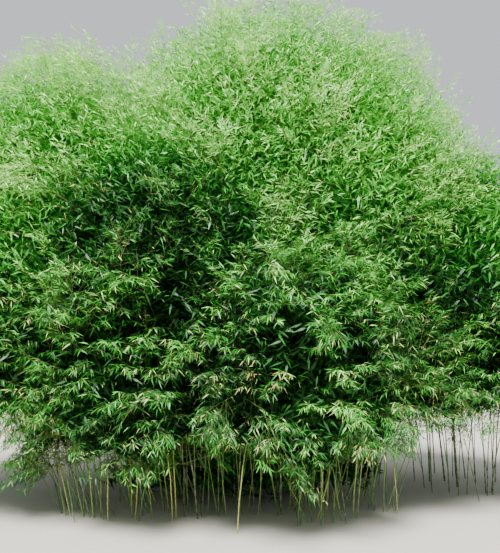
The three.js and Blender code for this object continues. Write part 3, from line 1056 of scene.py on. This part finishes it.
@dataclass(frozen=True)
class Shoots:
    """Drooping limbs or leaves, one row each, with the number of the spray that each belongs to.

    A limb's point at a share lies at its root, plus its way times its length times the share, lowered by its
    droop times its length times the share squared.
    """

    root: Array
    way: Array
    length: Array
    droop: Array
    spray: Indices

    def points(self, share: Array) -> Array:
        """Points at shares of each limb: a row of shares, for all or for each, gives a row of points."""
        run = self.length[:, None] * share
        places = self.root[:, None] + self.way[:, None] * run[..., None]
        places[..., 2] -= self.droop[:, None] * run * share
        return places

    def tips(self) -> Array:
        """Points at the limbs' tips."""
        return self.points(np.ones(1))[:, 0]

    def ways(self, share: Array) -> Array:
        """Directions at shares of each limb: its way, lowered by twice its droop times the share."""
        ways = np.repeat(self.way[:, None], share.shape[1], axis=1)
        ways[..., 2] -= 2 * self.droop[:, None] * share
        return unit(ways)

    def kept(self, mask: Mask) -> "Shoots":
        """Gives only the limbs that a mask picks."""
        return Shoots(self.root[mask], self.way[mask], self.length[mask], self.droop[mask], self.spray[mask])

    def __len__(self) -> int:
        """Gives how many limbs there are."""
        return len(self.length)


def split_pieces(
    name: str, shoots: Shoots, faces: int, shape: Callable[[Shoots], Surface], material: bpy.types.Material
) -> list[bpy.types.Object]:
    """Shapes many limbs or leaves of one kind, in as few pieces as the limit on a piece allows.

    Args:
        name: the name of the piece, or of its parts before their numbers.
        shoots: the limbs or leaves, which may be none.
        faces: how many triangles each has.
        shape: what shapes them.
        material: their material.

    Returns:
        The pieces.
    """
    parts = math.ceil(len(shoots) * faces / PIECE_LIMIT)
    pieces = []
    for part in range(parts):
        chosen = shoots.kept(np.arange(len(shoots)) % parts == part)
        title = name if parts == 1 else f"{name}_{part + 1}"
        pieces.append(new_piece(title, shape(chosen), material))
    return pieces


@dataclass(frozen=True)
class LightAndShadePatch:
    """An oval of the crown whose leaves are paler, as painted light, or else deeper, as painted shade, by a
    number of tones in its middle.
    """

    at: Triple
    size: Triple
    tones: float

    def shift(self, points: Array) -> Array:
        """Gives the tones at points: they fall off with the square of the distance from the middle."""
        away = (points - np.array(self.at)) / np.array(self.size)
        return self.tones * np.clip(1 - (away**2).sum(axis=-1), 0, 1)


@dataclass(frozen=True)
class Fork:
    """How limbs leave their parent on both sides, from a first share of it to its end.

    The angles, in degrees, and the taper of the length go from the parent's root to its end, where the last
    limb goes on at its own angle, in radians. The strays multiply each limb's angle, length and droop.
    """

    count: int
    start: float
    angles: Pair
    last_angle: float
    length: float
    taper: Pair
    droop: float
    spread: float = 0.4
    nearest: float = 0.05
    roll: float = 0.45
    angle_strays: Pair = (0.75, 1.25)
    length_strays: Pair = (0.78, 1.18)
    droop_strays: Pair = (0.4, 1.6)

    def grow(self, parents: Shoots, rng: np.random.Generator) -> Shoots:
        """Sets limbs to the left and right of each parent in turn, and one on at its end.

        A limb's way is its parent's direction times the cosine of its angle, plus a direction across times
        the sine. Across is level, rolled a little about the parent.

        Args:
            parents: the limbs that they leave.
            rng: the source of the strays.

        Returns:
            The limbs, all those of one parent together.
        """
        each = self.count
        size = (len(parents), each)
        shares = blend(self.start, 1.0, np.arange(each) / (each - 1))
        angles = np.radians(blend(*self.angles, shares))
        angles[-1] = self.last_angle
        spread = np.tile(shares, (len(parents), 1))
        spread[:, :-1] += rng.uniform(-self.spread, self.spread, (len(parents), each - 1)) / each
        spread = np.clip(spread, self.nearest, 1.0)
        along = parents.ways(spread)
        level = unit(np.cross(along, UP) + 1e-6)
        across = turned(level, np.cross(level, along), rng.normal(0, self.roll, size))
        hand = np.where(np.arange(each) % 2 == 0, 1.0, -1.0) * rng.choice([-1.0, 1.0], (len(parents), 1))
        angle = angles * hand * rng.uniform(*self.angle_strays, size)
        length = self.length * blend(*self.taper, shares) * rng.uniform(*self.length_strays, size)
        droop = self.droop * rng.uniform(*self.droop_strays, size)
        way = unit(turned(along, across, angle).reshape(-1, 3))
        root = parents.points(spread).reshape(-1, 3)
        return Shoots(root, way, length.ravel(), droop.ravel(), np.repeat(parents.spray, each))


@dataclass(frozen=True)
class LeafShape:
    """How a leaf is cut: its width, and where its one or two cross-sections lie, as shares of its length.

    Its face looks up and outwards by a share, tilted and twisted at random.
    """

    width: float
    sections: tuple[float, ...]
    outward: float = 0.45
    tilt: float = 0.4
    width_strays: Pair = (0.85, 1.15)
    twist: float = 0.3
    narrowing: float = 0.86

    def faces(self) -> list[list[int]]:
        """Gives the triangles of one leaf."""
        return [[0, 1, 2], [2, 1, 3], [2, 3, 4], [4, 3, 5]][: 2 * len(self.sections)]

    def mesh(self, leaves: Shoots, rng: np.random.Generator) -> Surface:
        """Shapes lance-like leaves.

        A section's points lie on either side of the leaf's line by half its width there. The leaf's face
        looks up and outwards, and it twists to its second section.

        Args:
            leaves: the leaves' lines.
            rng: the source of the strays.

        Returns:
            Vertices and triangles.
        """
        count = len(leaves)
        outward = unit(leaves.root * np.array([1.0, 1.0, 0.0])) * self.outward
        facing = UP + outward + rng.normal(0, self.tilt, (count, 3))
        face = unit(facing - leaves.way * (facing * leaves.way).sum(axis=1, keepdims=True))
        side = np.cross(leaves.way, face)
        half = (leaves.length * self.width * rng.uniform(*self.width_strays, count) / 2)[:, None]
        spine = leaves.points(np.array([0.0, *self.sections, 1.0]))
        points = [spine[:, 0], spine[:, 1] + side * half, spine[:, 1] - side * half]
        if len(self.sections) > 1:
            far = turned(side, face, rng.normal(0, self.twist, count)) * half * self.narrowing
            points += [spine[:, 2] + far, spine[:, 2] - far]
        points.append(spine[:, -1])
        triangles = repeated(np.array(self.faces()), count, len(points))
        return np.stack(points, axis=1).reshape(-1, 3), triangles


@dataclass
class Foliage:
    """The plumes: stems, branches, twigs and leaves, grown on from the canes."""

    crown: Crown
    canes: list[Cane]
    seed: int = 52

    # Stems
    joint_spacing: float = 0.15
    below_plume: float = 0.03
    first_joint: float = 0.6
    stem_radii: Pair = (0.0078, 0.002)
    stem_end: float = 0.995
    stem_rings: int = 10
    stem_sides: int = 4

    # Branches, with their angles to the stem in degrees
    branches_at_joint: int = 3
    cane_turn: float = 7.3
    turn_stray: float = 0.25
    branch_longest: float = 0.95
    branch_shortest: float = 0.42
    longest_late: float = 0.8
    lowest_branch_angle: float = 86.0
    branch_angle: float = 60.0
    branch_angle_at_tip: float = 26.0
    narrows_from: float = 0.5
    narrows_over: float = 1.5
    angle_stray: float = 7.0
    length_strays: Pair = (0.7, 1.2)
    branch_droop: float = 0.2
    droop_strays: Pair = (0.5, 1.5)
    branch_radius: float = 0.0026
    limb_taper: float = 0.7
    cuts: tuple[float, ...] = tuple(np.linspace(1, 0.3, 8))
    cut_margin: float = 0.01

    # Twigs
    twig_fork: Fork = Fork(12, 0.28, (62.0, 30.0), 0.0, 0.12, (1.25, 0.75), 0.15)
    twig_radius: float = 0.0011
    bare_twigs_below: float = 0.15
    deepest_twigs: Pair = (0.12, 0.4)

    # Leaves: how they hang, their size, and how many are kept, by height
    leaf_fork: Fork = Fork(9, 0.2, (72.0, 36.0), 0.05, 0.086, (1.0, 1.0), 0.16)
    leaf_hang: Ramp = Ramp((1.2, 2.4, 3.6, 5.5), (0.3, 0.05, -0.35, -0.6))
    hang_stray: float = 0.28
    leaf_size: Ramp = Ramp((0.8, 2.0, 3.5, 6.0), (0.74, 0.96, 0.88, 0.82))
    leaf_budget: int = 390_000
    low_favour: Ramp = Ramp((1.8, 3.0), (2.2, 1.0))
    near_leaf: LeafShape = LeafShape(0.125, (0.24, 0.6))
    far_leaf: LeafShape = LeafShape(0.1375, (0.34,))
    far_from: float = 1.7
    far_below: float = 0.07

    # The crown's skin: how far sprays stand out of it, and the pockets in it
    standing_out: Pair = (-0.03, 0.048)
    most_sprays: int = 40_000
    pockets: int = 300
    pocket_draws: int = 60_000
    pocket_depths: Pair = (0.02, 0.13)
    pockets_below: float = 3.2
    pocket_size: float = 0.2
    pocket_strays: Pair = (0.5, 1.1)
    pocket_shape: Triple = (1.0, 1.0, 0.7)

    # Tones of the outer leaves: painted light that makes them paler with height, painted shade deeper in the
    # crown, ovals of painted light and shade, and random strays
    # Ovals of painted light, which make leaves paler, and of painted shade, which make them deeper
    patches: tuple[LightAndShadePatch, ...] = (
        LightAndShadePatch((-1.2, -1.6, 3.0), (1.25, 1.8, 0.9), -1.7),
        LightAndShadePatch((-2.9, -1.1, 2.8), (0.9, 1.8, 1.4), 2.2),
        LightAndShadePatch((2.65, -0.5, 2.7), (0.9, 1.6, 1.0), 1.7),
        LightAndShadePatch((1.05, -1.2, 3.6), (0.55, 1.4, 0.6), 1.2),
        LightAndShadePatch((-0.45, -1.9, 1.4), (0.45, 1.2, 0.4), -1.5),
        LightAndShadePatch((0.55, -1.9, 1.2), (0.45, 1.2, 0.45), 1.2),
        LightAndShadePatch((1.1, -1.5, 1.8), (0.8, 1.4, 0.35), -1.0),
        LightAndShadePatch((-2.2, -0.9, 1.2), (0.8, 1.4, 0.55), 1.1),
    )
    # Painted light: the outer leaves' tone rises with height
    outer_tone: Ramp = Ramp((0.5, 1.6, 3.0, 4.2, 5.4), (1.6, 2.05, 3.6, 4.85, 5.3))
    # Painted shade: tones taken off for depth in the crown
    tones_for_depth: float = 2.4
    spray_stray: float = 0.6
    leaf_stray: float = 0.5
    # Share of pale leaves by height: partly undersides, partly painted glints.
    underside_and_glint_share: Ramp = Ramp((1.2, 2.4), (0.1, 0.055))
    dry_sprays: Ramp = Ramp((1.2, 2.4), (0.1, 0.04))
    dry_share: float = 0.004
    dry_share_in_spray: float = 0.22

    # Inner leaves: where they hang, their shape, and their tones, which are painted shade
    inner_draws: int = 1_150_000
    inner_share: Ramp = Ramp((2.0, 6.0), (1.0, 0.5))
    inner_rise: float = 1.0
    inner_from: Ramp = Ramp((0.8, 2.5, 5.0), (0.13, 0.12, 0.07))
    inner_depth: float = 0.4
    inner_length: Ramp = Ramp((0.12, 0.28), (0.085, 0.225))
    inner_strays: Pair = (0.8, 1.2)
    inner_spread: Triple = (1.0, 1.0, 0.35)
    inner_hang: float = 0.45
    inner_droop: float = 0.1
    inner_leaf: LeafShape = LeafShape(0.19, (0.34,))
    # Painted shade of the inner leaves: it lifts with height, near the skin, and with a share of the ovals of
    # painted light and shade
    inner_tone: Ramp = Ramp((2.0, 2.7, 3.5, 4.4), (0.0, 1.0, 2.2, 3.0))
    inner_tone_near_skin: Ramp = Ramp((0.1, 0.22), (0.8, 0.0))
    inner_light_and_shade_share: float = 0.6
    inner_tone_stray: float = 0.45

    # The thicket at the ground: leaves between the canes, partly litter and partly dark sheets of painted
    # shade
    thicket_at: Pair = (-0.25, 0.1)
    thicket_size: Pair = (1.8, 0.88)
    thicket_edges: Pair = (0.65, 1.0)
    thicket_from: float = 0.04
    thicket_flare: float = 0.5
    thicket_top: float = 2.0

    def stem_joints(self) -> tuple[Array, Array, Array, Indices]:
        """Finds the joints of every plume's stem.

        Returns:
            Their places, the stem's direction there, their share of the stem, and their cane's number.
        """
        joints = []
        for number, cane in enumerate(self.canes):
            start = cane.plume_start() - self.below_plume
            count = int((1 - start) * cane.length() / self.joint_spacing)
            share = (np.arange(count) + self.first_joint) / count
            along = blend(start, 1.0, share)
            joints.append((cane.points(along), cane.ways(along), share, np.full(count, number)))
        place, stem, share, owner = (np.concatenate(values) for values in zip(*joints))
        return place, stem, share, owner

    def grow_branches(self, rng: np.random.Generator) -> Shoots:
        """Sets branches round every stem by the golden angle, each cut back to end inside the crown.

        A branch's way is the stem's direction times the cosine of its angle, plus a direction across the stem
        times the sine. The branches are longest in the middle of the stem.

        Args:
            rng: the source of the strays.

        Returns:
            The branches.
        """
        place, stem, share, owner = (
            np.repeat(values, self.branches_at_joint, axis=0) for values in self.stem_joints()
        )
        count = len(place)
        turn = (np.arange(count) + owner * self.cane_turn) * GOLDEN_TURN
        side = turned(*square_to(stem), turn + rng.normal(0, self.turn_stray, count))
        narrowing = np.clip((place[:, 2] - self.narrows_from) / self.narrows_over, 0, 1)
        widest = blend(self.lowest_branch_angle, self.branch_angle, narrowing)
        angle = blend(widest, self.branch_angle_at_tip, share)
        way = turned(stem, side, np.radians(angle + rng.normal(0, self.angle_stray, count)))
        length = blend(self.branch_shortest, self.branch_longest, np.sin(math.pi * share**self.longest_late))
        length *= rng.uniform(*self.length_strays, count)
        droop = self.branch_droop * rng.uniform(*self.droop_strays, count)
        return self.cut_back(Shoots(place, unit(way), length, droop, np.arange(count)))

    def edge_of(self, shoots: Shoots) -> Array:
        """Gives how deep in the crown each spray ends: some stand a little out of its skin, others inside."""
        rng = np.random.default_rng(self.seed + 2)
        return rng.uniform(*self.standing_out, self.most_sprays)[shoots.spray]

    def cut_back(self, shoots: Shoots) -> Shoots:
        """Cuts each limb to the longest of a few lengths that ends in the crown's leafy part, or drops it.

        Args:
            shoots: the limbs.

        Returns:
            The limbs that are left.
        """
        cuts = np.array(self.cuts)
        fits = self.crown.is_leafy(shoots.points(cuts), self.edge_of(shoots)[:, None] + self.cut_margin)
        fitted = cuts[fits.argmax(axis=1)]
        shoots = replace(shoots, length=shoots.length * fitted, droop=shoots.droop * fitted)
        return shoots.kept(fits.any(axis=1))

    def grow_twigs(self, branches: Shoots, rng: np.random.Generator) -> Shoots:
        """Sets twigs along every branch, the inner ones longer.

        It drops those that end outside the crown's leafy part, too deep in it, or in a pocket.

        Args:
            branches: the branches.
            rng: the source of the strays.

        Returns:
            The twigs.
        """
        twigs = self.twig_fork.grow(branches, rng)
        tips = twigs.tips()
        deepest = blend(*self.deepest_twigs, rng.uniform(0, 1, len(twigs)))
        fits = self.crown.is_leafy(tips, self.edge_of(twigs)) & (self.crown.depth(tips) < deepest)
        return twigs.kept(fits & ~self.in_pocket(tips))

    def grow_leaves(self, twigs: Shoots, rng: np.random.Generator) -> Shoots:
        """Sets a fan of leaves on every twig, and chooses among them up to the budget, more of them low down.

        The lower in the crown, the more the leaves hang. A leaf is chosen by the height of a draw from 0 to 1
        raised to 1 over its favour.

        Args:
            twigs: the twigs.
            rng: the source of the strays.

        Returns:
            The leaves.
        """
        leaves = self.leaf_fork.grow(twigs, rng)
        height = leaves.root[:, 2]
        hang = self.leaf_hang.of(height) + rng.normal(0, self.hang_stray, len(leaves))
        way = unit(leaves.way - UP * hang[:, None])
        leaves = replace(leaves, way=way, length=leaves.length * self.leaf_size.of(height))
        tips = leaves.tips()
        leaves = leaves.kept(self.crown.is_leafy(tips, self.edge_of(leaves)) & ~self.in_pocket(tips))
        favour = self.low_favour.of(leaves.root[:, 2])
        order = np.argsort(-(rng.uniform(0, 1, len(leaves)) ** (1 / favour)))
        chosen = np.zeros(len(leaves), dtype=bool)
        chosen[order[: self.leaf_budget]] = True
        return leaves.kept(chosen)

    def in_pocket(self, points: Array) -> Mask:
        """Says which points lie in one of the dark pockets, rounded hollows between the leafy bulges.

        Args:
            points: the places.

        Returns:
            Whether each lies in one.
        """
        rng = np.random.default_rng(self.seed + 1)
        places = draw_in_box(rng, self.pocket_draws)
        depth = self.crown.depth(places)
        least, most = self.pocket_depths
        near_skin = (depth > least) & (depth < most) & (places[:, 2] < self.pockets_below)
        middles = places[near_skin][: self.pockets]
        sizes = self.pocket_size * rng.uniform(*self.pocket_strays, (len(middles), 1))
        held = np.zeros(len(points), dtype=bool)
        for middle, size in zip(middles, sizes * np.array(self.pocket_shape)):
            held |= (((points - middle) / size) ** 2).sum(axis=1) < 1
        return held

    def grow_inner_leaves(self, rng: np.random.Generator) -> Shoots:
        """Hangs old leaves all through the dim layer behind the leafy skin, and in the thicket at the ground;
        their dark tones are painted shade.

        A leaf's way is close to level. The deeper a leaf, the larger it is.

        Args:
            rng: the source of the places and the strays.

        Returns:
            The leaves.
        """
        root = draw_in_box(rng, self.inner_draws)
        edge = rng.uniform(*self.thicket_edges, len(root))
        spared = rng.uniform(0, 1, len(root)) < self.inner_share.of(root[:, 2])
        held = (self.is_inner(root) & spared) | self.in_thicket(root, edge)
        root, edge = root[held], edge[held]
        count = len(root)
        way = unit(rng.normal(0, 1, (count, 3)) * np.array(self.inner_spread) - UP * self.inner_hang)
        length = self.inner_length.of(self.crown.depth(root, self.inner_rise))
        length = np.where(self.in_thicket(root, edge), self.inner_length.levels[1], length)
        length *= rng.uniform(*self.inner_strays, count)
        leaves = Shoots(root, way, length, np.full(count, self.inner_droop), np.arange(count))
        tips = leaves.tips()
        return leaves.kept(self.is_inner(tips) | self.in_thicket(tips, edge))

    def is_inner(self, points: Array) -> Mask:
        """Says which points lie in the layer behind the leafy skin, and not in the open room under it.

        Args:
            points: the places.

        Returns:
            Whether each lies there.
        """
        depth = self.crown.depth(self.crown.lowered(points), self.inner_rise)
        under = self.crown.is_underneath(points, self.crown.leafy_rim_share)
        return (depth > self.inner_from.of(points[:, 2])) & (depth < self.inner_depth) & ~under

    def in_thicket(self, points: Array, edge: Array) -> Mask:
        """Says which points lie in the low thicket of old leaves between the canes, dark with painted shade.

        It is an oval with upright sides, and starts higher over the ground towards its rim.

        Args:
            points: the places.
            edge: how far out the oval goes for each, as a share of its size.

        Returns:
            Whether each lies in it.
        """
        away = (points[:, :2] - np.array(self.thicket_at)) / np.array(self.thicket_size)
        height, lowest = points[:, 2], self.thicket_from + self.thicket_flare * (1 - edge)
        return (np.linalg.norm(away, axis=1) < edge) & (height > lowest) & (height < self.thicket_top)

    def light_and_shade_tones(self, points: Array) -> Array:
        """Gives by how many tones the ovals of painted light and shade make leaves paler or deeper at points.
        """
        return np.sum([patch.shift(points) for patch in self.patches], axis=0)

    def inner_tones(self, leaves: Shoots, rng: np.random.Generator) -> Indices:
        """Deals the leaf colours out to the inner leaves as painted shade: darkest low down and deep inside,
        where least light reaches.

        Args:
            leaves: the leaves.
            rng: the source of the strays.

        Returns:
            The value of each leaf's tone.
        """
        # Painted shade: darkest low down and deep inside
        tone = self.inner_tone.of(leaves.root[:, 2])
        tone += self.inner_tone_near_skin.of(self.crown.depth(leaves.root, self.inner_rise))
        tone += self.light_and_shade_tones(leaves.root) * self.inner_light_and_shade_share
        tone += rng.normal(0, self.inner_tone_stray, len(leaves)) * (tone > 0)
        return np.clip(np.round(tone), LeafTone.SHADED.value, LeafTone.BRIGHT.value).astype(int)

    def outer_tones(self, leaves: Shoots, rng: np.random.Generator) -> Indices:
        """Deals the leaf colours out by spray: paler with height and in some ovals as painted light, deeper
        inside the crown and in other ovals as painted shade, with a stray for each spray and each leaf.

        Args:
            leaves: the leaves.
            rng: the source of the strays.

        Returns:
            The value of each leaf's tone.
        """
        sprays = int(leaves.spray.max()) + 1
        height = leaves.root[:, 2]
        depth = np.clip(self.crown.depth(leaves.root), 0, 1)
        # Painted light by height, and painted shade by depth in the crown
        tone = self.outer_tone.of(height) - self.tones_for_depth * depth
        tone += self.light_and_shade_tones(leaves.root)
        by_spray = rng.normal(0, self.spray_stray, sprays)[leaves.spray]
        tone += by_spray + rng.normal(0, self.leaf_stray, len(leaves))
        tones = np.clip(np.round(tone), LeafTone.DEEP.value, LeafTone.PALEST_LIT.value).astype(int)
        odd = rng.uniform(0, 1, len(leaves))
        # Pale leaves dealt out at random: partly undersides, partly painted glints of the sky.
        tones[odd < self.underside_and_glint_share.of(height)] = LeafTone.UNDERSIDE_AND_GLINT.value
        in_dry_spray = rng.uniform(0, 1, sprays)[leaves.spray] < self.dry_sprays.of(height)
        is_dry = (odd > 1 - self.dry_share) | (in_dry_spray & (odd > 1 - self.dry_share_in_spray))
        tones[is_dry] = LeafTone.DRY.value
        return tones

    def limb_mesh(self, limbs: Shoots, radius: float, sections: int) -> Surface:
        """Shapes three-sided limbs that taper to a point.

        A ring's point lies on the limb's line, plus the radius there times a direction across it.

        Args:
            limbs: the limbs' lines.
            radius: their radius at the root.
            sections: how many rings each has.

        Returns:
            Vertices and triangles.
        """
        count = len(limbs)
        share = np.linspace(0, 1, sections + 1)
        spine = limbs.points(share)
        across = unit(np.cross(limbs.way, UP) + 1e-6)
        turn = np.arange(3) * 2 * math.pi / 3
        ring = turned(across[:, None], np.cross(limbs.way, across)[:, None], turn)
        radii = radius * (1 - share[:-1] * self.limb_taper)
        rings = spine[:, :-1, None] + ring[:, None] * radii[:, None, None]
        vertices = np.concatenate([rings.reshape(count, -1, 3), spine[:, -1:]], axis=1)
        around = np.arange(3) + 3 * (sections - 1)
        beside = np.roll(around, -1)
        point = np.stack([around, beside, np.full(3, 3 * sections)], axis=1)
        faces = np.concatenate([wall_faces(sections, 3), point])
        return vertices.reshape(-1, 3), repeated(faces, count, vertices.shape[1])

    def stem_mesh(self) -> Surface:
        """Carries a tapering ring along every plume's stem.

        Returns:
            Vertices and triangles.
        """
        along = np.linspace(0, 1, self.stem_rings)
        radii = blend(*self.stem_radii, along)
        meshes = []
        for cane in self.canes:
            share = blend(cane.plume_start(), self.stem_end, along)
            line = cane.points(share), cane.ways(share)
            meshes.append(tube_vertices(*line, radii * cane.scale, self.stem_sides))
        faces = tube_faces(self.stem_rings, self.stem_sides)
        return np.concatenate(meshes), repeated(faces, len(meshes), len(meshes[0]))

    def build(self) -> list[bpy.types.Object]:
        """Builds the stems, branches, twigs and leaves.

        Returns:
            The pieces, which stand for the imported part's plumes.
        """
        rng = np.random.default_rng(self.seed)
        branches = self.grow_branches(rng)
        twigs = self.grow_twigs(branches, rng)
        leaves = self.grow_leaves(twigs, rng)
        inner = self.grow_inner_leaves(rng)
        for name, shoots in (("branches", branches), ("twigs", twigs), ("leaves", leaves), ("inner", inner)):
            LOG.info("%d %s", len(shoots), name)
        skin = TwigFinish().material()
        pieces = [
            new_piece("stems", self.stem_mesh(), skin),
            new_piece("branches", self.limb_mesh(branches, self.branch_radius, 2), skin),
        ]
        outer = twigs.kept(self.crown.depth(twigs.tips()) < self.bare_twigs_below)
        twig_mesh = partial(self.limb_mesh, radius=self.twig_radius, sections=1)
        pieces += split_pieces("twigs", outer, 3, twig_mesh, skin)
        tones = self.outer_tones(leaves, rng)
        inner_tones = self.inner_tones(inner, rng)
        is_far = (leaves.root[:, 2] > self.far_from) | (self.crown.depth(leaves.root) > self.far_below)
        for finish in LEAF_FINISHES:
            name = f"leaves_{finish.tone.name.lower()}"
            material = finish.material()
            chosen = tones == finish.tone.value
            for title, batch, shape in (
                (f"inner_{name}", inner.kept(inner_tones == finish.tone.value), self.inner_leaf),
                (f"{name}_high", leaves.kept(chosen & is_far), self.far_leaf),
                (f"{name}_low", leaves.kept(chosen & ~is_far), self.near_leaf),
            ):
                mesh = partial(shape.mesh, rng=rng)
                pieces += split_pieces(title, batch, len(shape.faces()), mesh, material)
        return pieces


@dataclass(frozen=True)
class Studio:
    """A plain pale floor, soft light, and a camera at standing height in front of the clump."""

    floor_size: float = 160.0
    floor_colour: int = 0xD2CCBF
    floor_roughness: float = 0.9
    sky_colour: int = 0xDDE3E8
    sky_strength: float = 1.0
    sun_strength: float = 8.5
    sun_softness: float = 25.0
    sun_tilt: Pair = (30.0, -4.0)
    eye: Triple = (-0.2, -7.3, 1.6)
    pitch: float = 7.45
    focal_pixels: float = 600.0
    picture_height: float = 553.0
    sight: float = 300.0

    def build(self) -> None:
        """Makes the floor, the lights and the camera."""
        bpy.ops.mesh.primitive_plane_add(size=self.floor_size)
        floor = bpy.context.object
        floor.name = "floor"
        material, shader = new_material("floor")
        shader.inputs["Base Color"].default_value = linear(self.floor_colour)
        shader.inputs["Roughness"].default_value = self.floor_roughness
        floor.data.materials.append(material)

        world = bpy.data.worlds.new("sky")
        world.use_nodes = True
        sky = world.node_tree.nodes["Background"]
        sky.inputs["Color"].default_value = linear(self.sky_colour)
        sky.inputs["Strength"].default_value = self.sky_strength
        bpy.context.scene.world = world

        sun = bpy.data.lights.new("sun", "SUN")
        sun.energy = self.sun_strength
        sun.angle = math.radians(self.sun_softness)
        add_object("sun", sun).rotation_euler = (*map(math.radians, self.sun_tilt), 0.0)

        data = bpy.data.cameras.new("camera")
        data.lens = self.focal_pixels * data.sensor_width / self.picture_height
        data.clip_end = self.sight
        camera = add_object("camera", data)
        camera.location = self.eye
        camera.rotation_euler = (math.radians(90 + self.pitch), 0.0, 0.0)
        bpy.context.scene.camera = camera


def write_sizes() -> None:
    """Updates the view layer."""
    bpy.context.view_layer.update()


def main() -> None:
    """Builds the clump and the studio."""
    logging.basicConfig(level=logging.INFO, format="%(name)s: %(message)s")
    crown = Crown()
    canes = CaneLayout(crown).lay_out()
    LOG.info("%d canes", len(canes))
    nodes = sorted(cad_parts)
    for piece in CanePieces(canes).build():
        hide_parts(*(n for n in nodes if n.startswith("cane_")))
    for piece in Foliage(crown, canes).build():
        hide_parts(*(n for n in nodes if n.startswith("plume_")))
    Studio().build()
    write_sizes()


if __name__ == "__main__":
    main()
